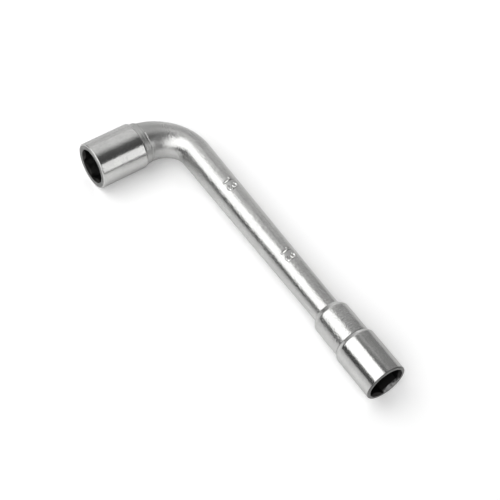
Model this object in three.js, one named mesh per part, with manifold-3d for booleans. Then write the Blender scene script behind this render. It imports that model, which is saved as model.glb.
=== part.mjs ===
// L-shaped socket wrench for 13 mm hexagon nuts: a forged bar, bent to a right angle, with a six-point
// socket brazed on each end. Millimetres, +Z up. The wrench lies flat, both arms level: the long arm
// runs along +X and the short arm along -Y. The origin is under the middle of its bounding box.
import * as THREE from "three";
import { mergeVertices } from "three/addons/utils/BufferGeometryUtils.js";
import Module from "manifold-3d";

const wasm = await Module();
wasm.setup();

// Nut, and the play that the hexagons leave round it
const NUT_ACROSS_FLATS = 13;
const NUT_PLAY = 0.2;

// Bar: neck behind the elbow socket, slightly tapered shaft, and the spigot that enters the elbow socket
const NECK_DIAMETER = 17.8;
const SHAFT_ROOT_DIAMETER = 13.6;
const SHAFT_TIP_DIAMETER = 11.7;
const SHAFT_LENGTH = 94.4;
const SPIGOT_DIAMETER = 12.4;

// The bend's centre line is a quarter of an ellipse: how far from the corner it leaves each arm's axis, and
// how much of it is cut off square on the short arm, where the neck ends in a shoulder
const BEND_ON_LONG_ARM = 17;
const BEND_ON_SHORT_ARM = 19.6;
const BEND_CUT_OFF = 3;

// Elbow socket, and the turned ring between it and the neck
const ELBOW_WALL = 2.58;
const ELBOW_HEX_DEPTH = 13;
const ELBOW_SEAT_DEPTH = 6.5;
const ELBOW_BACK_ROUND = 0.9;
const RING_WIDTH = 2.4;
const RING_BEADS = 2;
const RING_STEP = 0.05;
const BEAD_HEIGHT = 0.35;

// Shaft socket, and the collar between it and the shaft
const SHAFT_WALL = 1.38;
const SHAFT_HEX_DEPTH = 12.2;
const SHAFT_SEAT_DEPTH = 7.1;
const SHAFT_SHOULDER_LENGTH = 1.6;
const COLLAR_WALL = 2.1;
const COLLAR_LENGTH = 16.5;
const COLLAR_SHOULDER_LENGTH = 2.4;
const COLLAR_LIP = 0.35;

// Both sockets: floor between hexagon and seat, bevel outside the mouth, lead-in inside it, and the round
// run-out groove behind the hexagon
const SOCKET_FLOOR = 2.5;
const MOUTH_BEVEL = 0.6;
const LEAD_IN = 0.12;
const RUN_OUT_WIDTH = 1.5;

// Thickness of each brazed seam, and how far the bar's ends stop short of the bottoms of their seats
const BRAZE_GAP = 0.1;
const SEAT_END_GAP = 0.3;

// Facets, how far a cut runs past the face that it starts from, and how close vertices are joined
const ROUND_SEGMENTS = 48;
const BEND_STEPS = 16;
const BEAD_STEPS = 4;
const ROUND_STEPS = 3;
const CUT_OVERRUN = 1;
const JOIN_DISTANCE = 1e-4;

const RIGHT_ANGLE = Math.PI / 2;
const FULL_TURN = 2 * Math.PI;

// Hexagons have one corner straight up
const CORNERS = 6;
const FIRST_CORNER = RIGHT_ANGLE;
const hexFlatRadius = (NUT_ACROSS_FLATS + NUT_PLAY) / 2;
const hexCornerRadius = hexFlatRadius / Math.cos(Math.PI / CORNERS);

const neckRadius = NECK_DIAMETER / 2;
const rootRadius = SHAFT_ROOT_DIAMETER / 2;
const tipRadius = SHAFT_TIP_DIAMETER / 2;
const spigotRadius = SPIGOT_DIAMETER / 2;
const collarBore = tipRadius + BRAZE_GAP;
const collarRadius = collarBore + COLLAR_WALL;
const ringBore = spigotRadius + BRAZE_GAP;
const ringLand = neckRadius + RING_STEP;
const elbowSocketRadius = hexCornerRadius + ELBOW_WALL;
const shaftSocketRadius = hexCornerRadius + SHAFT_WALL;
const elbowSocketLength = ELBOW_HEX_DEPTH + SOCKET_FLOOR + ELBOW_SEAT_DEPTH;
const shaftSocketLength = SHAFT_HEX_DEPTH + SOCKET_FLOOR + SHAFT_SEAT_DEPTH;

// How far each piece's back face lies from the corner where the two axes cross: along the short arm
const neckShoulder = BEND_ON_SHORT_ARM - BEND_CUT_OFF;
const ringBack = neckShoulder + BRAZE_GAP;
const elbowSocketBack = ringBack + RING_WIDTH + BRAZE_GAP;
const shortReach = elbowSocketBack + elbowSocketLength;

// and along the long arm
const collarBack = BEND_ON_LONG_ARM + SHAFT_LENGTH;
const shaftSocketBack = collarBack + COLLAR_LENGTH + BRAZE_GAP;
const longReach = shaftSocketBack + shaftSocketLength;

const satinChrome = new THREE.MeshStandardMaterial({ color: 0xb4b5b3, roughness: 0.34, metalness: 1 });
const polishedChrome = new THREE.MeshStandardMaterial({ color: 0xc9cac8, roughness: 0.14, metalness: 1 });

// A closed geometry as a solid, and a solid as a geometry
function solidOf(geometry) {
  const bare = geometry.clone();
  bare.deleteAttribute("normal");
  bare.deleteAttribute("uv");
  const merged = mergeVertices(bare, JOIN_DISTANCE);
  const mesh = new wasm.Mesh({
    numProp: 3,
    vertProperties: merged.attributes.position.array,
    triVerts: new Uint32Array(merged.index.array),
  });
  return new wasm.Manifold(mesh);
}

function geometryOf(solid) {
  const mesh = solid.getMesh();
  const geometry = new THREE.BufferGeometry();
  geometry.setAttribute("position", new THREE.BufferAttribute(mesh.vertProperties, 3));
  geometry.setIndex(new THREE.BufferAttribute(mesh.triVerts, 1));
  geometry.computeVertexNormals();
  return geometry;
}

// A turned piece: profile points are [radius, height], from the bottom up, and turn about +Y
function turned(profile) {
  const points = profile.map(([radius, height]) => new THREE.Vector2(radius, height));
  return new THREE.LatheGeometry(points, ROUND_SEGMENTS);
}

// Points of a quarter round that goes from the end of a face on to the outside of a cylinder
function quarterRound(radius, height, round) {
  const points = [];
  for (let i = 0; i <= ROUND_STEPS; i++) {
    const angle = (i / ROUND_STEPS) * RIGHT_ANGLE;
    points.push([radius - round * (1 - Math.sin(angle)), height + round * (1 - Math.cos(angle))]);
  }
  return points;
}

// What is cut from a socket's mouth at height `mouth`: hexagon, lead-in cone and run-out groove
function hexRecess(mouth, depth) {
  const shape = new THREE.Shape();
  for (let i = 0; i < CORNERS; i++) {
    const angle = FIRST_CORNER + (i / CORNERS) * FULL_TURN;
    const x = hexCornerRadius * Math.cos(angle);
    const y = hexCornerRadius * Math.sin(angle);
    if (i === 0) shape.moveTo(x, y);
    else shape.lineTo(x, y);
  }
  shape.closePath();
  const prism = new THREE.ExtrudeGeometry(shape, { depth: depth + CUT_OVERRUN, bevelEnabled: false });
  prism.rotateX(RIGHT_ANGLE);
  prism.translate(0, mouth + CUT_OVERRUN, 0);
  const leadInRadius = hexCornerRadius + LEAD_IN;
  const cone = turned([
    [0, mouth - leadInRadius],
    [leadInRadius, mouth],
    [leadInRadius, mouth + CUT_OVERRUN],
    [0, mouth + CUT_OVERRUN],
  ]);
  const floor = mouth - depth;
  const groove = turned([
    [0, floor],
    [hexCornerRadius, floor],
    [hexCornerRadius, floor + RUN_OUT_WIDTH],
    [0, floor + RUN_OUT_WIDTH + hexCornerRadius],
  ]);
  return solidOf(prism).add(solidOf(cone)).add(solidOf(groove));
}

// What is cut from a socket's back, at height 0, to seat an end of the bar
function seat(depth, barRadius) {
  const bore = barRadius + BRAZE_GAP;
  return solidOf(turned([[0, -CUT_OVERRUN], [bore, -CUT_OVERRUN], [bore, depth], [0, depth]]));
}

// Sockets stand with the back face at height 0 and the mouth up
function elbowSocket() {
  const blank = turned([
    [0, 0],
    ...quarterRound(elbowSocketRadius, 0, ELBOW_BACK_ROUND),
    [elbowSocketRadius, elbowSocketLength - MOUTH_BEVEL],
    [elbowSocketRadius - MOUTH_BEVEL, elbowSocketLength],
    [0, elbowSocketLength],
  ]);
  const recess = hexRecess(elbowSocketLength, ELBOW_HEX_DEPTH);
  return geometryOf(solidOf(blank).subtract(recess).subtract(seat(ELBOW_SEAT_DEPTH, spigotRadius)));
}

function shaftSocket() {
  const blank = turned([
    [0, 0],
    [collarRadius, 0],
    [shaftSocketRadius, SHAFT_SHOULDER_LENGTH],
    [shaftSocketRadius, shaftSocketLength - MOUTH_BEVEL],
    [shaftSocketRadius - MOUTH_BEVEL, shaftSocketLength],
    [0, shaftSocketLength],
  ]);
  const recess = hexRecess(shaftSocketLength, SHAFT_HEX_DEPTH);
  return geometryOf(solidOf(blank).subtract(recess).subtract(seat(SHAFT_SEAT_DEPTH, tipRadius)));
}

// Collar: a sleeve over the shaft's tip, with a conical shoulder at its back
function collar() {
  return turned([
    [collarBore, 0],
    [collarBore + COLLAR_LIP, 0],
    [collarRadius, COLLAR_SHOULDER_LENGTH],
    [collarRadius, COLLAR_LENGTH],
    [collarBore, COLLAR_LENGTH],
    [collarBore, 0],
  ]);
}

// Seat ring: fine round beads side by side on a sleeve
function seatRing() {
  const beadWidth = RING_WIDTH / RING_BEADS;
  const outside = [];
  for (let bead = 0; bead < RING_BEADS; bead++) {
    const firstStep = bead === 0 ? 0 : 1;
    for (let i = firstStep; i <= BEAD_STEPS; i++) {
      const angle = (i / BEAD_STEPS) * Math.PI;
      const height = (bead + (1 - Math.cos(angle)) / 2) * beadWidth;
      outside.push([ringLand + BEAD_HEIGHT * Math.sin(angle), height]);
    }
  }
  return turned([[ringBore, 0], ...outside, [ringBore, RING_WIDTH], [ringBore, 0]]);
}

// A bar through round sections: each has its centre in the level plane, its radius, and the angle that it
// is turned by from facing along +Y to facing along +X
function barThrough(sections) {
  const positions = [];
  const triangles = [];
  sections.forEach(({ x, y, angle, radius }, section) => {
    for (let i = 0; i < ROUND_SEGMENTS; i++) {
      const round = (i / ROUND_SEGMENTS) * FULL_TURN;
      const across = radius * Math.cos(round);
      positions.push(x + across * Math.cos(angle), y - across * Math.sin(angle), radius * Math.sin(round));
      if (section === 0) continue;
      const next = (i + 1) % ROUND_SEGMENTS;
      const before = (section - 1) * ROUND_SEGMENTS;
      const here = section * ROUND_SEGMENTS;
      triangles.push(before + i, here + i, before + next, before + next, here + i, here + next);
    }
  });
  const first = sections[0];
  const last = sections[sections.length - 1];
  const lastRing = (sections.length - 1) * ROUND_SEGMENTS;
  const firstCentre = sections.length * ROUND_SEGMENTS;
  const lastCentre = firstCentre + 1;
  positions.push(first.x, first.y, 0, last.x, last.y, 0);
  for (let i = 0; i < ROUND_SEGMENTS; i++) {
    const next = (i + 1) % ROUND_SEGMENTS;
    triangles.push(firstCentre, i, next, lastCentre, lastRing + next, lastRing + i);
  }
  const bar = new THREE.BufferGeometry();
  bar.setAttribute("position", new THREE.Float32BufferAttribute(positions, 3));
  bar.setIndex(triangles);
  bar.computeVertexNormals();
  return bar;
}

// Bar: spigot, shoulder against the ring, bend that thins from neck to shaft, shaft, and seat at the tip
function bentBar() {
  const spigotEnd = elbowSocketBack + ELBOW_SEAT_DEPTH - SEAT_END_GAP;
  const tip = shaftSocketBack + SHAFT_SEAT_DEPTH - SEAT_END_GAP;
  const sections = [
    { x: 0, y: -spigotEnd, angle: 0, radius: spigotRadius },
    { x: 0, y: -neckShoulder, angle: 0, radius: spigotRadius },
  ];
  const bendStart = Math.asin(BEND_CUT_OFF / BEND_ON_SHORT_ARM);
  for (let i = 0; i <= BEND_STEPS; i++) {
    const turn = THREE.MathUtils.lerp(bendStart, RIGHT_ANGLE, i / BEND_STEPS);
    const run = BEND_ON_LONG_ARM * Math.sin(turn);
    const rise = BEND_ON_SHORT_ARM * Math.cos(turn);
    const thinned = Math.sin((i / BEND_STEPS) * RIGHT_ANGLE);
    sections.push({
      x: BEND_ON_LONG_ARM * (1 - Math.cos(turn)),
      y: BEND_ON_SHORT_ARM * (Math.sin(turn) - 1),
      angle: i === 0 ? 0 : Math.atan2(run, rise),
      radius: THREE.MathUtils.lerp(neckRadius, rootRadius, thinned),
    });
  }
  sections.push(
    { x: collarBack, y: 0, angle: RIGHT_ANGLE, radius: tipRadius },
    { x: tip, y: 0, angle: RIGHT_ANGLE, radius: tipRadius },
  );
  return barThrough(sections);
}

function named(name, geometry, material) {
  const mesh = new THREE.Mesh(geometry, material);
  mesh.name = name;
  return mesh;
}

// Arms are groups whose +Y runs from the corner to the mouth
const shortArm = new THREE.Group();
shortArm.rotation.z = Math.PI;
const longArm = new THREE.Group();
longArm.rotation.z = -RIGHT_ANGLE;

const ring = named("seat_ring", seatRing(), satinChrome);
ring.position.y = ringBack;
const elbow = named("elbow_socket", elbowSocket(), polishedChrome);
elbow.position.y = elbowSocketBack;
shortArm.add(ring, elbow);

const sleeve = named("shaft_collar", collar(), satinChrome);
sleeve.position.y = collarBack;
const tipSocket = named("shaft_socket", shaftSocket(), polishedChrome);
tipSocket.position.y = shaftSocketBack;
longArm.add(sleeve, tipSocket);

const wrench = new THREE.Group();
wrench.add(named("bent_shank", bentBar(), satinChrome), shortArm, longArm);

// The corner is moved so that the wrench's bounding box stands on the origin
const box = new THREE.Box3().setFromObject(wrench, true);
const middle = box.getCenter(new THREE.Vector3());
wrench.position.set(-middle.x, -middle.y, -box.min.z);

export default wrench;
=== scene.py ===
"""Looks of an L-shaped socket wrench: a bent chromed shank with a hexagon socket on each end.

The file is laid out as an add-on. Run as a script, it builds the wrench and its white table once.
All sizes are metres, in the frame of the part: the long arm runs along +X, the short arm along -Y.
"""

import cmath
import math

import bmesh
import bpy
import numpy as np
from bpy.props import FloatProperty, FloatVectorProperty, PointerProperty
from mathutils import Matrix, Vector


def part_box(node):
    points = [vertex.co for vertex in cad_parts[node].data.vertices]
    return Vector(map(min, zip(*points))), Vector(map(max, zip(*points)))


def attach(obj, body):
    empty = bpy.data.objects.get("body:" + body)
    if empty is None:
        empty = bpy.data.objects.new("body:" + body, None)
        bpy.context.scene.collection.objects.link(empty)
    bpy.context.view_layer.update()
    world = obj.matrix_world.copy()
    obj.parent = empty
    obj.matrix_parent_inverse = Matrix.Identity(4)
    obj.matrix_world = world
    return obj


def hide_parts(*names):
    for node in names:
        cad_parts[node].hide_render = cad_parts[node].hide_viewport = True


bl_info = {
    "name": "L-shaped socket wrench",
    "version": (1, 0, 0),
    "blender": (4, 5, 0),
    "location": "3D View > Sidebar > Wrench",
    "description": "Builds a chromed L-shaped socket wrench and the white table that it lies on",
    "category": "Add Mesh",
}

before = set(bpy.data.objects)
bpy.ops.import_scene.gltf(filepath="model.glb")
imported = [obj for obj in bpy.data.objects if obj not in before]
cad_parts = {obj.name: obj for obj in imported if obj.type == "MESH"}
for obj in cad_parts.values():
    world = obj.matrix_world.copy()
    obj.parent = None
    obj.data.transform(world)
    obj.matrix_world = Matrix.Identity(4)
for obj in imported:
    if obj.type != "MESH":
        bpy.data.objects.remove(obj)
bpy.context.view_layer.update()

# Places read from the solids
SHANK_LOW, SHANK_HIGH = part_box("bent_shank")
ELBOW_LOW, ELBOW_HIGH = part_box("elbow_socket")
RING_LOW, RING_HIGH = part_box("seat_ring")
COLLAR_LOW, COLLAR_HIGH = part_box("shaft_collar")
TIP_LOW, TIP_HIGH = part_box("shaft_socket")
CORNER = Vector((
    (ELBOW_LOW.x + ELBOW_HIGH.x) / 2,
    (TIP_LOW.y + TIP_HIGH.y) / 2,
    (ELBOW_LOW.z + ELBOW_HIGH.z) / 2,
))
SPIGOT_END = CORNER.y - SHANK_LOW.y
SHANK_TIP = SHANK_HIGH.x - CORNER.x
ELBOW_BACK = CORNER.y - ELBOW_HIGH.y
ELBOW_MOUTH = CORNER.y - ELBOW_LOW.y
RING_BACK = CORNER.y - RING_HIGH.y
RING_FRONT = CORNER.y - RING_LOW.y
COLLAR_BACK = COLLAR_LOW.x - CORNER.x
COLLAR_FRONT = COLLAR_HIGH.x - CORNER.x
TIP_BACK = TIP_LOW.x - CORNER.x
TIP_MOUTH = TIP_HIGH.x - CORNER.x

# Frames of the two arms: local Z runs out along the arm and local Y is up
SHORT_ARM = Matrix.Translation(CORNER) @ Matrix(((-1, 0, 0), (0, 0, -1), (0, 1, 0))).to_4x4()
LONG_ARM = Matrix.Translation(CORNER) @ Matrix(((0, 0, 1), (1, 0, 0), (0, 1, 0))).to_4x4()
PART_FRAME = Matrix.Identity(4)

# Thickness of each brazed seam between the shank and what sits on it
BRAZE_GAP = 0.0001

# How finely the round forms are divided
ROUND_POINTS = 192
BEND_STEPS = 64
FILLET_STEPS = 5
BEAD_STEPS = 14
SHAFT_STEPS = 40
STROKE_STEPS = 14

# How far past each end of a rounded corner an extra point keeps the profile straight, in radii
FILLET_HOLD = 0.3

# Which material of a socket covers a strip of it
PLATED = 0
RIM = 1
RECESS = 2

# Values of a random pattern between which it fades from its first colour to its second
FADE = (0.3, 0.7)


class WrenchSizes(bpy.types.PropertyGroup):
    """Sizes of the wrench that a user may change."""

    neck_diameter: FloatProperty(
        name="Neck diameter",
        description="Thickness of the shank beside the elbow socket",
        default=0.0178,
        unit="LENGTH",
    )
    root_diameter: FloatProperty(
        name="Root diameter",
        description="Thickness of the shaft where it leaves the bend",
        default=0.0136,
        unit="LENGTH",
    )
    tip_diameter: FloatProperty(
        name="Tip diameter",
        description="Thickness of the shaft at its collar",
        default=0.0117,
        unit="LENGTH",
    )
    spigot_diameter: FloatProperty(
        name="Spigot diameter",
        description="Thickness of the end of the shank that sits inside the elbow socket",
        default=0.0124,
        unit="LENGTH",
    )
    bend_on_long_arm: FloatProperty(
        name="Bend on the long arm",
        description="How far the bend reaches along the long arm",
        default=0.017,
        unit="LENGTH",
    )
    bend_on_short_arm: FloatProperty(
        name="Bend on the short arm",
        description="How far the bend would reach along the short arm if the ring did not cut it off",
        default=0.0196,
        unit="LENGTH",
    )
    bend_cut_off: FloatProperty(
        name="Bend cut off",
        description="Length of the bend that the ring cuts off",
        default=0.003,
        unit="LENGTH",
    )
    across_flats: FloatProperty(
        name="Across flats",
        description="Width of both hexagons, with the play that the nut needs",
        default=0.0132,
        unit="LENGTH",
    )
    elbow_hex_depth: FloatProperty(
        name="Elbow hexagon depth",
        description="Depth of the hexagon in the elbow socket",
        default=0.013,
        unit="LENGTH",
    )
    tip_hex_depth: FloatProperty(
        name="Tip hexagon depth",
        description="Depth of the hexagon in the socket on the long arm",
        default=0.0122,
        unit="LENGTH",
    )
    rim_rounding: FloatProperty(
        name="Rim rounding",
        description="Radius of the rounded outer edge of each mouth",
        default=0.0005,
        unit="LENGTH",
    )
    number_height: FloatProperty(
        name="Number height",
        description="Height of the digits of the raised size number",
        default=0.0042,
        unit="LENGTH",
    )
    number_relief: FloatProperty(
        name="Number relief",
        description="How far the size number stands above the shank",
        default=0.00035,
        unit="LENGTH",
    )


class WrenchFinishes(bpy.types.PropertyGroup):
    """Colours and finishes of the wrench that a user may change."""

    satin_tint: FloatVectorProperty(
        name="Satin chrome",
        description="Colour of the satin plating on the shank, ring and collar",
        subtype="COLOR",
        size=3,
        min=0.0,
        max=1.0,
        default=(0.52, 0.52, 0.512),
    )
    satin_roughness: FloatProperty(
        name="Satin roughness",
        description="How far the satin plating spreads a reflection",
        subtype="FACTOR",
        min=0.0,
        max=1.0,
        default=0.17,
    )
    polished_tint: FloatVectorProperty(
        name="Polished chrome",
        description="Colour of the polished plating on the sockets",
        subtype="COLOR",
        size=3,
        min=0.0,
        max=1.0,
        default=(0.51, 0.51, 0.502),
    )
    polished_roughness: FloatProperty(
        name="Polished roughness",
        description="How far the polished plating spreads a reflection",
        subtype="FACTOR",
        min=0.0,
        max=1.0,
        default=0.13,
    )
    # Painted highlight: the size numbers are coloured lighter than the plating.
    number_highlight_tint: FloatVectorProperty(
        name="Size numbers",
        description="Colour of the raised size numbers, lighter than the plating as a painted highlight",
        subtype="COLOR",
        size=3,
        min=0.0,
        max=1.0,
        default=(0.88, 0.88, 0.87),
    )
    # The mouth rims' colour also colours the painted shade round the size numbers.
    rim_tint: FloatVectorProperty(
        name="Mouth rims",
        description="Colour of the bare turned face of each mouth",
        subtype="COLOR",
        size=3,
        min=0.0,
        max=1.0,
        default=(0.15, 0.15, 0.147),
    )
    recess_tint: FloatVectorProperty(
        name="Hexagon walls",
        description="Colour of the dark unplated steel inside the hexagons",
        subtype="COLOR",
        size=3,
        min=0.0,
        max=1.0,
        default=(0.032, 0.031, 0.03),
    )
    # Painted light: a lit patch low down inside the long arm's mouth.
    painted_light_tint: FloatVectorProperty(
        name="Painted light in the long hexagon",
        description="Colour of the painted pool of light low down inside the long arm's mouth",
        subtype="COLOR",
        size=3,
        min=0.0,
        max=1.0,
        default=(0.28, 0.28, 0.28),
    )
    table_tint: FloatVectorProperty(
        name="Table",
        description="Colour of the table under the wrench",
        subtype="COLOR",
        size=3,
        min=0.0,
        max=1.0,
        default=(0.98, 0.98, 0.98),
    )


class Number:
    """A value in a node tree that takes part in plain arithmetic."""

    def __init__(self, recipe, socket):
        self.recipe = recipe
        self.socket = socket

    def _math(self, operation, first, second):
        """What one operation makes of two values."""
        node = self.recipe.add("ShaderNodeMath", {"operation": operation}, {0: first, 1: second})
        return Number(self.recipe, node.outputs[0])

    def __add__(self, other):
        return self._math("ADD", self, other)

    def __radd__(self, other):
        return self._math("ADD", other, self)

    def __sub__(self, other):
        return self._math("SUBTRACT", self, other)

    def __rsub__(self, other):
        return self._math("SUBTRACT", other, self)

    def __mul__(self, other):
        return self._math("MULTIPLY", self, other)

    def __rmul__(self, other):
        return self._math("MULTIPLY", other, self)

    def rise(self, start, end):
        """A smooth step from 0 where the value is start to 1 where it is end."""
        settings = {"interpolation_type": "SMOOTHSTEP"}
        sockets = {"Value": self, "From Min": start, "From Max": end}
        node = self.recipe.add("ShaderNodeMapRange", settings, sockets)
        return Number(self.recipe, node.outputs[0])


class Recipe:
    """The nodes of one material or of the room round the table."""

    def __init__(self, owner):
        owner.use_nodes = True
        self.nodes = owner.node_tree.nodes
        self.links = owner.node_tree.links
        self.nodes.clear()

    def add(self, kind, settings, sockets):
        """A node of that kind, with its settings made first and then its sockets set or linked."""
        node = self.nodes.new(kind)
        for name, setting in settings.items():
            setattr(node, name, setting)
        for name, value in sockets.items():
            self.feed(node.inputs[name], value)
        return node

    def feed(self, socket, value):
        """Links a value of the tree to a socket, or sets the socket to a plain value."""
        if isinstance(value, Number):
            self.links.new(value.socket, socket)
        elif isinstance(value, bpy.types.NodeSocket):
            self.links.new(value, socket)
        else:
            socket.default_value = value

    def place(self):
        """Where a point lies in its piece's own frame."""
        return self.add("ShaderNodeTexCoord", {}, {}).outputs["Object"]

    def noise(self, place, scale, detail=2.0):
        """A soft random pattern from 0 to 1."""
        sockets = {"Vector": place, "Scale": scale, "Detail": detail, "Roughness": 0.55}
        node = self.add("ShaderNodeTexNoise", {}, sockets)
        return Number(self, node.outputs["Fac"])

    def streaks(self, place, scales):
        """A random pattern with its own scale along each axis, which draws it out into lines."""
        node = self.add("ShaderNodeVectorMath", {"operation": "MULTIPLY"}, {0: place, 1: scales})
        return self.noise(node.outputs[0], scale=1.0)

    def coordinates(self, place):
        """The three coordinates of a place as numbers."""
        parts = self.add("ShaderNodeSeparateXYZ", {}, {"Vector": place})
        return [Number(self, socket) for socket in parts.outputs]

    def tint(self, factor, first, second):
        """A colour between two others."""
        node = self.add("ShaderNodeMix", {"data_type": "RGBA"}, {0: factor, 6: first, 7: second})
        return node.outputs[2]

    def surface(self, shader):
        """Makes a shader the surface of the material."""
        self.add("ShaderNodeOutputMaterial", {}, {"Surface": shader.outputs[0]})


def opaque(tint, share=1.0):
    """A colour with an alpha of 1, multiplied by a share."""
    return (tint[0] * share, tint[1] * share, tint[2] * share, 1.0)


def plated(recipe, color, roughness, height, relief, edge_tint=1.0):
    """A metal surface with fine relief. Its edge tint is how bright it is seen at a flat angle."""
    bump = recipe.add("ShaderNodeBump", {}, {"Strength": 1.0, "Distance": relief, "Height": height})
    sockets = {
        "Base Color": color,
        "Metallic": 1.0,
        "Roughness": roughness,
        "Specular Tint": opaque((edge_tint, edge_tint, edge_tint)),
        "Normal": bump.outputs[0],
    }
    return recipe.add("ShaderNodeBsdfPrincipled", {}, sockets)


def satin_chrome(finishes):
    """Satin plating on the collar."""
    return satin("satin chrome", finishes)


def forged_chrome(finishes):
    """Satin plating on the shank and the ring, duller on the neck and the ring, where painted shade also
    darkens its colour.
    """
    return satin("forged chrome", finishes, neck_dullness=0.09, neck_painted_shade=0.6)


def satin(name, finishes, neck_dullness=0.0, neck_painted_shade=0.0):
    """Satin plating over a blasted forging: a fine grain, soft mottling and faint rubbed lines."""
    material = bpy.data.materials.new(name)
    recipe = Recipe(material)
    place = recipe.place()
    grain = recipe.noise(place, scale=1500.0)
    ripple = recipe.noise(place, scale=420.0)
    mottle = recipe.noise(place, scale=130.0, detail=3.0)
    rubbed = recipe.streaks(place, scales=(60.0, 1300.0, 1300.0)).rise(0.62, 0.78)
    color = recipe.tint(
        0.4 * mottle.rise(*FADE) + 0.6 * grain.rise(*FADE),
        opaque(finishes.satin_tint, share=0.84),
        opaque(finishes.satin_tint, share=1.08),
    )
    roughness = finishes.satin_roughness + 0.09 * grain + 0.05 * mottle + 0.08 * rubbed
    if neck_dullness:
        neck_from = 0.0031
        neck_fully_from = 0.0121
        from_long_arm = CORNER.y - recipe.coordinates(place)[1]
        on_neck = from_long_arm.rise(neck_from, neck_fully_from)
        roughness = roughness + neck_dullness * on_neck
        # Painted shade: the colour darkens on the neck and the ring, near the elbow.
        color = recipe.tint(neck_painted_shade * on_neck, color, opaque(finishes.satin_tint, share=0.7))
    height = grain + 0.5 * ripple
    recipe.surface(plated(recipe, color, roughness, height, relief=0.0001, edge_tint=0.73))
    return material


def polished_chrome(finishes):
    """Polished plating over turned steel: faint lines round the arm, with a few handling marks."""
    material = bpy.data.materials.new("polished chrome")
    recipe = Recipe(material)
    place = recipe.place()
    turned = recipe.streaks(place, scales=(15.0, 15.0, 2600.0))
    cloud = recipe.noise(place, scale=170.0, detail=3.0)
    grain = recipe.noise(place, scale=1700.0)
    rubbed = recipe.streaks(place, scales=(1500.0, 1500.0, 90.0)).rise(0.66, 0.8)
    color = recipe.tint(
        0.4 * cloud.rise(*FADE) + 0.6 * grain.rise(*FADE),
        opaque(finishes.polished_tint, share=0.88),
        opaque(finishes.polished_tint, share=1.08),
    )
    roughness = finishes.polished_roughness + 0.05 * turned + 0.03 * cloud + 0.12 * rubbed
    height = 0.3 * turned + grain
    recipe.surface(plated(recipe, color, roughness, height, relief=0.000034, edge_tint=0.62))
    return material


def rubbed_chrome_with_painted_highlight(finishes):
    """Plating on the raised size numbers, lighter than the shank's plating as a painted highlight."""
    material = bpy.data.materials.new("rubbed chrome with painted highlight")
    recipe = Recipe(material)
    grain = recipe.noise(recipe.place(), scale=1700.0)
    color = recipe.tint(
        grain.rise(*FADE),
        opaque(finishes.number_highlight_tint, share=0.94),
        opaque(finishes.number_highlight_tint, share=1.04),
    )
    roughness = 0.14 + 0.06 * grain
    recipe.surface(plated(recipe, color, roughness, grain, relief=0.00001))
    return material


def rim_steel_and_painted_shade(finishes):
    """Bare turned steel on the face of each mouth, duller than the plating; round the size numbers the
    same dark steel is painted shade.
    """
    material = bpy.data.materials.new("rim steel and painted shade")
    recipe = Recipe(material)
    place = recipe.place()
    grain = recipe.noise(place, scale=1800.0)
    stain = recipe.noise(place, scale=300.0, detail=3.0)
    color = recipe.tint(
        stain.rise(*FADE),
        opaque(finishes.rim_tint, share=0.7),
        opaque(finishes.rim_tint, share=1.2),
    )
    roughness = 0.3 + 0.12 * grain + 0.08 * stain
    recipe.surface(plated(recipe, color, roughness, grain, relief=0.00002))
    return material


def dark_steel(finishes):
    """Unplated steel inside the elbow's hexagon, darkened by oil, with lines from the broach."""
    material = bpy.data.materials.new("dark steel")
    recipe = Recipe(material)
    place = recipe.place()
    broached = recipe.streaks(place, scales=(2200.0, 2200.0, 60.0))
    stain = recipe.noise(place, scale=260.0, detail=3.0)
    color = recipe.tint(
        stain.rise(0.35, 0.7),
        opaque(finishes.recess_tint, share=0.5),
        opaque(finishes.recess_tint, share=1.5),
    )
    roughness = 0.34 + 0.14 * broached + 0.1 * stain
    recipe.surface(plated(recipe, color, roughness, broached, relief=0.00001, edge_tint=0.5))
    return material


def dark_steel_with_painted_light(finishes):
    """Dark steel inside the hexagon of the long arm, with a painted pool of light low down on one side of
    its mouth.
    """
    painted_light_depth = 0.0016
    bright_depth = 0.001
    painted_light_height = -0.002
    bright_height = -0.004
    bright_side = 0.001
    material = bpy.data.materials.new("dark steel with painted light")
    recipe = Recipe(material)
    place = recipe.place()
    sideways, upward, along = recipe.coordinates(place)
    stain = recipe.noise(place, scale=420.0, detail=3.0)
    near_mouth = along.rise(TIP_MOUTH - painted_light_depth, TIP_MOUTH - bright_depth)
    low_down = (0 - upward).rise(-painted_light_height, -bright_height)
    on_side = sideways.rise(0.0, bright_side)
    # Painted light: a lit patch just inside the mouth, low down and to one side, broken up by the stain
    # pattern.
    rubbed = near_mouth * low_down * on_side * stain.rise(0.3, 0.55)
    color = recipe.tint(
        rubbed,
        opaque(finishes.recess_tint),
        opaque(finishes.painted_light_tint),
    )
    roughness = 0.4 + 0.15 * stain
    recipe.surface(plated(recipe, color, roughness, stain, relief=0.00002, edge_tint=0.5))
    return material


def white_table(finishes):
    """A smooth white table with some gloss and a faint glow of its own."""
    material = bpy.data.materials.new("white table")
    recipe = Recipe(material)
    paint = recipe.noise(recipe.place(), scale=8.0)
    color = recipe.tint(
        paint,
        opaque(finishes.table_tint, share=0.99),
        opaque(finishes.table_tint),
    )
    sockets = {
        "Base Color": color,
        "Roughness": 0.3,
        "IOR": 1.8,
        "Emission Color": (1.0, 1.0, 1.0, 1.0),
        "Emission Strength": 0.08,
    }
    recipe.surface(recipe.add("ShaderNodeBsdfPrincipled", {}, sockets))
    return material


def finish_named(name, maker):
    """The material of that name, made once."""
    found = bpy.data.materials.get(name)
    if found is None:
        found = maker(bpy.context.scene.wrench_finishes)
    return found


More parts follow.
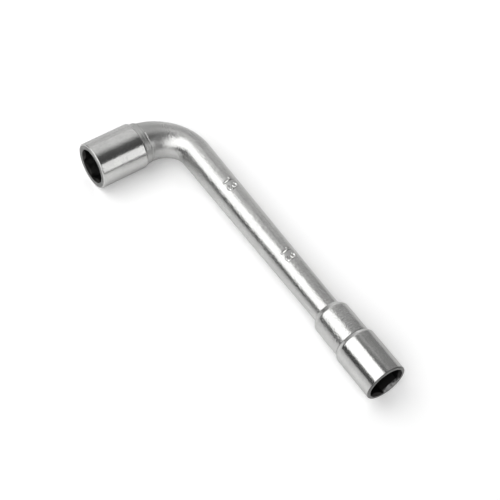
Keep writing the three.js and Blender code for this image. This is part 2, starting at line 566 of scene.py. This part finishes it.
def softened(corners, closed):
    """A profile through corners of along, radius and rounding, with an arc at each rounded corner."""
    points = []
    last = len(corners) - 1
    for index, (along, radius, rounding) in enumerate(corners):
        here = complex(along, radius)
        if rounding == 0 or (not closed and index in (0, last)):
            points.append(here)
            continue
        before = complex(*corners[index - 1][:2]) - here
        after = complex(*corners[(index + 1) % len(corners)][:2]) - here
        before /= abs(before)
        after /= abs(after)
        opening = abs(cmath.phase(after / before))
        reach = rounding / math.tan(opening / 2)
        middle = (before + after) / abs(before + after) * rounding / math.sin(opening / 2)
        arm = before * reach - middle
        sweep = cmath.phase((after * reach - middle) / arm)
        hold = FILLET_HOLD * rounding
        points.append(here + before * (reach + hold))
        for step in range(FILLET_STEPS + 1):
            points.append(here + middle + arm * cmath.exp(1j * sweep * step / FILLET_STEPS))
        points.append(here + after * (reach + hold))
    return points


def round_angles():
    """Angles of the points of one ring."""
    return np.linspace(0, 2 * math.pi, ROUND_POINTS, endpoint=False)


def ring(along, radius):
    """A ring of points about local Z. Both values may be one number or one for each point."""
    angles = round_angles()
    along = np.broadcast_to(along, angles.shape)
    return np.stack([radius * np.cos(angles), radius * np.sin(angles), along], axis=1)


def hexagon_radii(flat_radius):
    """Distance from the axis to a hexagon's wall at each angle. One corner points straight up."""
    side = math.pi / 3
    from_middle = (round_angles() + side / 2) % side - side / 2
    return flat_radius / np.cos(from_middle)


def skin(name, place, rings, materials, bands=None, closed=False):
    """A smooth mesh over rings of points. Bands gives the material of the strip after each ring."""
    rings = np.array(rings)
    count, around = rings.shape[:2]
    faces = []
    finishes = []
    for row in range(count if closed else count - 1):
        following = (row + 1) % count
        for point in range(around):
            beside = (point + 1) % around
            faces.append((
                row * around + point,
                row * around + beside,
                following * around + beside,
                following * around + point,
            ))
            finishes.append(bands[row] if bands else 0)
    if not closed:
        faces.append(tuple(range(around)))
        faces.append(tuple(range((count - 1) * around, count * around)))
        finishes.append(bands[0] if bands else 0)
        finishes.append(bands[-1] if bands else 0)
    mesh = bpy.data.meshes.new(name)
    mesh.from_pydata(rings.reshape(-1, 3).tolist(), [], faces)
    for material in materials:
        mesh.materials.append(material)
    mesh.polygons.foreach_set("material_index", finishes)
    mesh.polygons.foreach_set("use_smooth", [True] * len(faces))
    shaped = bmesh.new()
    shaped.from_mesh(mesh)
    bmesh.ops.recalc_face_normals(shaped, faces=shaped.faces)
    shaped.to_mesh(mesh)
    shaped.free()
    mesh.update()
    piece = bpy.data.objects.new(name, mesh)
    piece.matrix_world = place
    bpy.context.scene.collection.objects.link(piece)
    return piece


def fitted(piece, node=None):
    """Makes a piece ride on the wrench, in its finish and in place of a solid."""
    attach(piece, "root")
    if node:
        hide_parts(node)


def mixed(start, end, share):
    """A value part of the way from start to end."""
    return start + (end - start) * share


def shaft_radius(sizes, along):
    """Radius of the tapering shaft at a place along the long arm."""
    share = (along - sizes.bend_on_long_arm) / (COLLAR_BACK - sizes.bend_on_long_arm)
    return mixed(sizes.root_diameter, sizes.tip_diameter, share) / 2


def section(centre_x, centre_y, turn, radius):
    """A ring round the bar, turned from facing along the short arm to facing along the long one."""
    angles = round_angles()
    across = radius * np.cos(angles)
    return np.stack([
        CORNER.x + centre_x + across * math.cos(turn),
        CORNER.y + centre_y - across * math.sin(turn),
        CORNER.z + radius * np.sin(angles),
    ], axis=1)


def bend_sections(sizes):
    """Rings round the bend, from the neck to the root of the shaft."""
    settle_share = 0.125
    quarter = math.pi / 2
    first_turn = math.asin(sizes.bend_cut_off / sizes.bend_on_short_arm)
    rings = []
    for step in range(BEND_STEPS + 1):
        share = step / BEND_STEPS
        turn = mixed(first_turn, quarter, share)
        facing = math.atan2(
            sizes.bend_on_long_arm * math.sin(turn),
            sizes.bend_on_short_arm * math.cos(turn),
        )
        facing *= min(1.0, share / settle_share)
        thickness = mixed(sizes.neck_diameter, sizes.root_diameter, math.sin(share * quarter))
        rings.append(section(
            sizes.bend_on_long_arm * (1 - math.cos(turn)),
            sizes.bend_on_short_arm * (math.sin(turn) - 1),
            facing,
            thickness / 2,
        ))
    return rings


class WRENCH_OT_bent_shank(bpy.types.Operator):
    """Build the bent shank: spigot, neck, bend, tapering shaft and the seat at its tip"""

    bl_idname = "wrench.bent_shank"
    bl_label = "Bent shank"

    def execute(self, context):
        sizes = context.scene.wrench_sizes
        shoulder_rounding = 0.0004
        shoulder = sizes.bend_on_short_arm - sizes.bend_cut_off
        neck_end = softened([
            (SPIGOT_END, sizes.spigot_diameter / 2, 0),
            (shoulder, sizes.spigot_diameter / 2, 0),
            (shoulder, sizes.neck_diameter / 2, shoulder_rounding),
            (shoulder - sizes.neck_diameter, sizes.neck_diameter / 2, 0),
        ], closed=False)
        rings = [section(0, -point.real, 0, point.imag) for point in neck_end[:-2]]
        rings += bend_sections(sizes)[1:]
        for step in range(1, SHAFT_STEPS + 1):
            along = mixed(sizes.bend_on_long_arm, COLLAR_BACK, step / SHAFT_STEPS)
            rings.append(section(along, 0, math.pi / 2, shaft_radius(sizes, along)))
        rings.append(section(SHANK_TIP, 0, math.pi / 2, sizes.tip_diameter / 2))
        forged = finish_named("forged chrome", forged_chrome)
        piece = skin("shank", PART_FRAME, rings, [forged])
        fitted(piece, "bent_shank")
        return {"FINISHED"}


def stroke_of_one():
    """Lines of the digit 1, in digit heights from the middle of its foot."""
    flag_reach = 0.22
    flag_drop = 0.26
    stem = []
    flag = []
    for step in range(STROKE_STEPS + 1):
        share = step / STROKE_STEPS
        stem.append((0.0, share))
        flag.append((-flag_reach * share, 1 - flag_drop * share))
    return [stem, flag]


def stroke_of_three():
    """Lines of the digit 3: an upper and a lower bow that meet at its waist."""
    upper_radius = 0.235
    lower_radius = 0.265
    open_end = math.radians(155)
    waist = math.radians(90)
    upper = []
    lower = []
    for step in range(STROKE_STEPS + 1):
        share = step / STROKE_STEPS
        over = mixed(open_end, -waist, share)
        under = mixed(waist, -open_end, share)
        upper.append((upper_radius * math.cos(over), 1 - upper_radius + upper_radius * math.sin(over)))
        lower.append((lower_radius * math.cos(under), lower_radius + lower_radius * math.sin(under)))
    return [upper, lower]


def ridge(sizes, stroke, along, turned_up, half_width, relief):
    """Rings of a roof-shaped ridge that follows one line of a digit over the round shaft."""
    slant = 0.13
    sunk = 0.00012
    pointedness = 1.7
    end_steps = 4
    section_points = 16
    line = np.array(stroke) * sizes.number_height
    line[:, 1] -= sizes.number_height / 2
    line[:, 0] -= slant * line[:, 1]
    heading = line[-1] - line[-2]
    lead = line[0] - line[1]
    stations = []
    for step in range(end_steps, 0, -1):
        swell = step / (end_steps + 0.5)
        start = line[0] + lead / np.linalg.norm(lead) * half_width * swell
        stations.append((start, math.sqrt(1 - swell * swell)))
    for point in line:
        stations.append((point, 1.0))
    for step in range(1, end_steps + 1):
        swell = step / (end_steps + 0.5)
        end = line[-1] + heading / np.linalg.norm(heading) * half_width * swell
        stations.append((end, math.sqrt(1 - swell * swell)))
    centres = np.array([station[0] for station in stations])
    directions = np.gradient(centres, axis=0)
    directions /= np.linalg.norm(directions, axis=1)[:, None]
    rings = []
    for (centre, swell), direction in zip(stations, directions):
        sideways = np.array([-direction[1], direction[0]])
        points = []
        for corner in range(section_points):
            angle = 2 * math.pi * corner / section_points
            across = math.copysign(abs(math.cos(angle)) ** pointedness, math.cos(angle))
            above = math.copysign(abs(math.sin(angle)) ** pointedness, math.sin(angle))
            spot = centre + sideways * half_width * swell * across
            reach = relief if above > 0 else sunk
            lift = reach * swell * above
            radius = shaft_radius(sizes, along + spot[0])
            lean = turned_up + spot[1] / radius
            points.append((
                CORNER.x + along + spot[0],
                CORNER.y + (radius + lift) * math.sin(lean),
                CORNER.z + (radius + lift) * math.cos(lean),
            ))
        rings.append(points)
    return rings


class WRENCH_OT_size_numbers(bpy.types.Operator):
    """Build the size number 13 that stands raised on the top of the shaft, near each of its ends"""

    bl_idname = "wrench.size_numbers"
    bl_label = "Size numbers"

    def execute(self, context):
        sizes = context.scene.wrench_sizes
        lean = math.radians(3)
        half_pitch = 0.0017
        places = {"elbow": 0.0415, "tip": 0.083}
        half_stroke = 0.00037
        # Under each stroke lies a wider, low ridge of dark rim steel: painted shade round the foot of the
        # digit.
        half_painted_shade = 0.00055
        painted_shade_relief = 0.00005
        # The numbers' chrome is coloured lighter than the plating: a painted highlight.
        rubbed = finish_named("rubbed chrome with painted highlight", rubbed_chrome_with_painted_highlight)
        painted_shade_steel = finish_named("rim steel and painted shade", rim_steel_and_painted_shade)
        for end, along in places.items():
            digits = {
                "1": (stroke_of_one(), along - half_pitch),
                "3": (stroke_of_three(), along + half_pitch),
            }
            for digit, (strokes, middle) in digits.items():
                for part, stroke in zip(("main", "second"), strokes):
                    name = f"size_number_{end}_{digit}_{part}"
                    raised = ridge(sizes, stroke, middle, lean, half_stroke, sizes.number_relief)
                    fitted(skin(name, PART_FRAME, raised, [rubbed]))
                    # A wider, low ridge of dark rim steel under the stroke: painted shade round its foot.
                    painted_shade = ridge(sizes, stroke, middle, lean, half_painted_shade, painted_shade_relief)
                    fitted(skin(f"{name}_grime", PART_FRAME, painted_shade, [painted_shade_steel]))
        return {"FINISHED"}


class WRENCH_OT_seat_ring(bpy.types.Operator):
    """Build the ring with two fine turned beads between the neck and the elbow socket"""

    bl_idname = "wrench.seat_ring"
    bl_label = "Seat ring"

    def execute(self, context):
        sizes = context.scene.wrench_sizes
        beads = 2
        bead_height = 0.00006
        land = (RING_HIGH.z - RING_LOW.z) / 2 - bead_height
        bore = sizes.spigot_diameter / 2 + BRAZE_GAP
        profile = [complex(RING_BACK, bore)]
        for step in range(beads * BEAD_STEPS + 1):
            share = step / (beads * BEAD_STEPS)
            swell = abs(math.sin(share * beads * math.pi))
            profile.append(complex(mixed(RING_BACK, RING_FRONT, share), land + bead_height * swell))
        profile.append(complex(RING_FRONT, bore))
        rings = [section(0, -point.real, 0, point.imag) for point in profile]
        forged = finish_named("forged chrome", forged_chrome)
        piece = skin("beaded_ring", PART_FRAME, rings, [forged], closed=True)
        fitted(piece, "seat_ring")
        return {"FINISHED"}


class WRENCH_OT_shaft_collar(bpy.types.Operator):
    """Build the sleeve with a conical shoulder behind the socket of the long arm"""

    bl_idname = "wrench.shaft_collar"
    bl_label = "Shaft collar"

    def execute(self, context):
        sizes = context.scene.wrench_sizes
        shoulder_length = 0.0024
        shoulder_rounding = 0.0016
        edge_rounding = 0.0002
        lip = 0.00035
        radius = (COLLAR_HIGH.z - COLLAR_LOW.z) / 2
        bore = sizes.tip_diameter / 2 + BRAZE_GAP
        profile = softened([
            (COLLAR_BACK, bore, 0),
            (COLLAR_BACK, bore + lip, edge_rounding),
            (COLLAR_BACK + shoulder_length, radius, shoulder_rounding),
            (COLLAR_FRONT, radius, edge_rounding),
            (COLLAR_FRONT, bore, 0),
        ], closed=True)
        rings = [ring(point.real, point.imag) for point in profile]
        plain = finish_named("satin chrome", satin_chrome)
        piece = skin("collar_sleeve", LONG_ARM, rings, [plain], closed=True)
        fitted(piece, "shaft_collar")
        return {"FINISHED"}


def socket_rings(sizes, outside, mouth, hex_depth, plated_edge):
    """Rings over a socket's outside and into its hexagon, and the material of the strip after each."""
    lead_in = 0.00012
    edge = 0.00006
    run_out = 0.0015
    lip = 0.00012
    walls = hexagon_radii(sizes.across_flats / 2)
    corner_radius = sizes.across_flats / 2 / math.cos(math.pi / 6)
    opening = corner_radius + lead_in
    profile = softened(outside + [
        (mouth, opening, lip),
        (mouth - lip, opening - lip, 0),
    ], closed=False)
    rings = [ring(point.real, point.imag) for point in profile[:-1]]
    bands = [PLATED] * len(rings)
    face_start = len(softened(outside + [(mouth, opening, 0)], closed=False)) - 2
    if not plated_edge:
        face_start -= FILLET_STEPS + 1
    for row in range(face_start, len(bands) - 1):
        bands[row] = RIM
    bands[-1] = RECESS
    before_wall = np.minimum(walls + edge, opening - lip)
    rings.append(ring(mouth - (opening - before_wall), before_wall))
    rings.append(ring(mouth - (opening - walls), walls))
    rings.append(ring(mouth - (opening - walls) - edge, walls))
    rings.append(ring(mouth - hex_depth + run_out + edge, walls))
    rings.append(ring(mouth - hex_depth + run_out, walls))
    rings.append(ring(mouth - hex_depth + run_out - (corner_radius - walls), corner_radius))
    rings.append(ring(mouth - hex_depth, corner_radius))
    rings.append(ring(mouth - hex_depth, corner_radius / 2))
    bands += [RECESS] * (len(rings) - len(bands))
    return rings, bands


class WRENCH_OT_sockets(bpy.types.Operator):
    """Build the two sockets, each with a hexagon in its mouth and a seat for the shank in its back"""

    bl_idname = "wrench.sockets"
    bl_label = "Sockets"

    def execute(self, context):
        sizes = context.scene.wrench_sizes
        materials = [
            finish_named("polished chrome", polished_chrome),
            finish_named("rim steel and painted shade", rim_steel_and_painted_shade),
            finish_named("dark steel", dark_steel),
        ]

        elbow_seat_depth = 0.0065
        elbow_back_rounding = 0.0009
        elbow_radius = (ELBOW_HIGH.z - ELBOW_LOW.z) / 2
        elbow_seat = sizes.spigot_diameter / 2 + BRAZE_GAP
        elbow_outside = [
            (ELBOW_BACK + elbow_seat_depth, elbow_seat / 2, 0),
            (ELBOW_BACK + elbow_seat_depth, elbow_seat, 0),
            (ELBOW_BACK, elbow_seat, 0),
            (ELBOW_BACK, elbow_radius, elbow_back_rounding),
            (ELBOW_MOUTH, elbow_radius, sizes.rim_rounding),
        ]
        rings, bands = socket_rings(sizes, elbow_outside, ELBOW_MOUTH, sizes.elbow_hex_depth, True)
        piece = skin("hexagon_socket_elbow", SHORT_ARM, rings, materials, bands)
        fitted(piece, "elbow_socket")

        tip_seat_depth = 0.0071
        tip_back_rounding = 0.0002
        tip_shoulder = 0.0016
        tip_shoulder_rounding = 0.0012
        tip_radius = (TIP_HIGH.z - TIP_LOW.z) / 2
        tip_seat = sizes.tip_diameter / 2 + BRAZE_GAP
        tip_outside = [
            (TIP_BACK + tip_seat_depth, tip_seat / 2, 0),
            (TIP_BACK + tip_seat_depth, tip_seat, 0),
            (TIP_BACK, tip_seat, 0),
            (TIP_BACK, (COLLAR_HIGH.z - COLLAR_LOW.z) / 2, tip_back_rounding),
            (TIP_BACK + tip_shoulder, tip_radius, tip_shoulder_rounding),
            (TIP_MOUTH, tip_radius, sizes.rim_rounding),
        ]
        # The long arm's hexagon gets dark steel with a painted pool of light near its mouth.
        materials[RECESS] = finish_named("dark steel with painted light", dark_steel_with_painted_light)
        rings, bands = socket_rings(sizes, tip_outside, TIP_MOUTH, sizes.tip_hex_depth, False)
        piece = skin("hexagon_socket_tip", LONG_ARM, rings, materials, bands)
        fitted(piece, "shaft_socket")
        return {"FINISHED"}


def aimed(direction, side):
    """A turn that points local -Z against a direction, with local X as near to a side as it goes."""
    back = Vector(direction).normalized()
    up = back.cross(Vector(side)).normalized()
    right = up.cross(back)
    return Matrix((right, up, back)).transposed().to_4x4()


def softbox(name, middle, turn, width, height, radiance, shift=(0, 0)):
    """A soft lamp as a glowing panel that may lie shifted across and up its plane from a middle."""
    lamp = bpy.data.lights.new(name, "AREA")
    lamp.shape = "RECTANGLE"
    lamp.size = width
    lamp.size_y = height
    lamp.energy = radiance * math.pi * width * height
    holder = bpy.data.objects.new(name, lamp)
    holder.matrix_world = Matrix.Translation(middle) @ turn @ Matrix.Translation((*shift, 0))
    bpy.context.scene.collection.objects.link(holder)


def key_lamp():
    """The large softbox in front, without its upper left corner, as a wide panel and a shorter one."""
    width = 4.56
    height = 1.4
    cut_width = 0.92
    cut_height = 0.3
    radiance = 2.15
    middle = (0.47, -0.795, 0.931)
    turn = aimed((0, -0.485, 0.875), (0.978, -0.182, -0.101))
    whole_height = height - cut_height
    below = (0, -cut_height / 2)
    above = (cut_width / 2, whole_height / 2)
    softbox("key softbox", middle, turn, width, whole_height, radiance, below)
    softbox("key softbox top", middle, turn, width - cut_width, cut_height, radiance, above)


def left_ceiling():
    """A low ceiling of soft light on the left, in strips that fade out over the elbow."""
    height = 0.36
    middle_y = 0.115
    depth = 0.27
    turn = aimed((0, 0, 1), (1, 0, 0))
    strips = {
        "left ceiling": (-0.62, -0.165, 0.79),
        "left ceiling edge": (-0.165, -0.125, 0.6),
        "left ceiling fade": (-0.125, -0.09, 0.42),
        "left ceiling end": (-0.09, -0.05, 0.24),
    }
    for name, (left, right, radiance) in strips.items():
        softbox(name, ((left + right) / 2, middle_y, height), turn, right - left, depth, radiance)


def lamps():
    """All the soft lamps round the table."""
    key_lamp()
    side_turn = aimed((0.85, 0.385, 0.36), (0, 1, 0))
    softbox("side softbox", (0.745, 0.43, 0.32), side_turn, width=0.4, height=0.72, radiance=1.6)
    left_ceiling()
    back_turn = aimed((0, 1, 0), (1, 0, 0))
    softbox("back panel", (-0.37, 0.35, 0.18), back_turn, width=0.5, height=0.36, radiance=0.34)


def dim_room():
    """The room round the table: dark in front and overhead, with pale walls behind and to the left."""
    dark_level = 0.095
    left_level = 0.66
    back_level = 0.28
    world = bpy.data.worlds.new("dim room")
    bpy.context.scene.world = world
    recipe = Recipe(world)
    direction = recipe.add("ShaderNodeTexCoord", {}, {}).outputs["Generated"]
    toward_right, toward_back, _ = recipe.coordinates(direction)
    left_wall = (0 - toward_right).rise(0.72, 0.86) * toward_back.rise(-0.5, 0.2)
    back_wall = toward_back.rise(0.1, 0.6) * (0 - toward_right).rise(-0.5, 0.3)
    level = dark_level + left_level * left_wall + back_level * back_wall
    sockets = {"Color": (1.0, 1.0, 1.0, 1.0), "Strength": level}
    background = recipe.add("ShaderNodeBackground", {}, sockets)
    recipe.add("ShaderNodeOutputWorld", {}, {"Surface": background.outputs[0]})


def table_top():
    """The white table that the wrench lies on."""
    half_width = 3.0
    signs = ((-1, -1), (1, -1), (1, 1), (-1, 1))
    corners = [(x * half_width, y * half_width, 0) for x, y in signs]
    mesh = bpy.data.meshes.new("table")
    mesh.from_pydata(corners, [], [(0, 1, 2, 3)])
    mesh.materials.append(finish_named("white table", white_table))
    table = bpy.data.objects.new("table", mesh)
    bpy.context.scene.collection.objects.link(table)


def photo_camera():
    """The camera at the photo's angle, aimed to the right of the wrench's corner and below it."""
    azimuth = math.radians(48.76)
    elevation = math.radians(54.25)
    roll = math.radians(7.88)
    distance = 0.64457
    aim_right = 0.03267
    aim_up = -0.05261
    camera_data = bpy.data.cameras.new("camera")
    camera_data.sensor_width = 36
    camera_data.lens = 108
    back = Vector((
        math.sin(azimuth) * math.cos(elevation),
        -math.cos(azimuth) * math.cos(elevation),
        math.sin(elevation),
    ))
    level_right = Vector((math.cos(azimuth), math.sin(azimuth), 0))
    level_up = back.cross(level_right)
    right = level_right * math.cos(roll) + level_up * math.sin(roll)
    up = back.cross(right)
    spot = CORNER + right * aim_right + up * aim_up + back * distance
    camera = bpy.data.objects.new("camera", camera_data)
    camera.matrix_world = Matrix.Translation(spot) @ Matrix((right, up, back)).transposed().to_4x4()
    bpy.context.scene.collection.objects.link(camera)
    bpy.context.scene.camera = camera


class WRENCH_OT_studio(bpy.types.Operator):
    """Build the white table, the soft lamps, the room and the camera"""

    bl_idname = "wrench.studio"
    bl_label = "Studio"

    def execute(self, context):
        table_top()
        dim_room()
        lamps()
        photo_camera()
        context.scene.view_settings.view_transform = "Standard"
        return {"FINISHED"}


BUILDERS = (
    WRENCH_OT_bent_shank,
    WRENCH_OT_size_numbers,
    WRENCH_OT_seat_ring,
    WRENCH_OT_shaft_collar,
    WRENCH_OT_sockets,
    WRENCH_OT_studio,
)


class WRENCH_PT_panel(bpy.types.Panel):
    """Lists the sizes, the finishes and the builders of the wrench"""

    bl_idname = "WRENCH_PT_panel"
    bl_label = "Socket wrench"
    bl_space_type = "VIEW_3D"
    bl_region_type = "UI"
    bl_category = "Wrench"

    def draw(self, context):
        layout = self.layout
        for group in (context.scene.wrench_sizes, context.scene.wrench_finishes):
            for name in group.__annotations__:
                layout.prop(group, name)
        for builder in BUILDERS:
            layout.operator(builder.bl_idname)


CLASSES = (WrenchSizes, WrenchFinishes) + BUILDERS + (WRENCH_PT_panel,)


def register():
    """Adds the classes and the two groups of settings."""
    for added in CLASSES:
        bpy.utils.register_class(added)
    bpy.types.Scene.wrench_sizes = PointerProperty(type=WrenchSizes)
    bpy.types.Scene.wrench_finishes = PointerProperty(type=WrenchFinishes)


def unregister():
    """Takes the classes and the two groups of settings away again."""
    del bpy.types.Scene.wrench_finishes
    del bpy.types.Scene.wrench_sizes
    for added in reversed(CLASSES):
        bpy.utils.unregister_class(added)


def main():
    """Builds the wrench and its stage."""
    register()
    bpy.ops.wrench.bent_shank()
    bpy.ops.wrench.size_numbers()
    bpy.ops.wrench.seat_ring()
    bpy.ops.wrench.shaft_collar()
    bpy.ops.wrench.sockets()
    bpy.ops.wrench.studio()


if __name__ == "__main__":
    main()
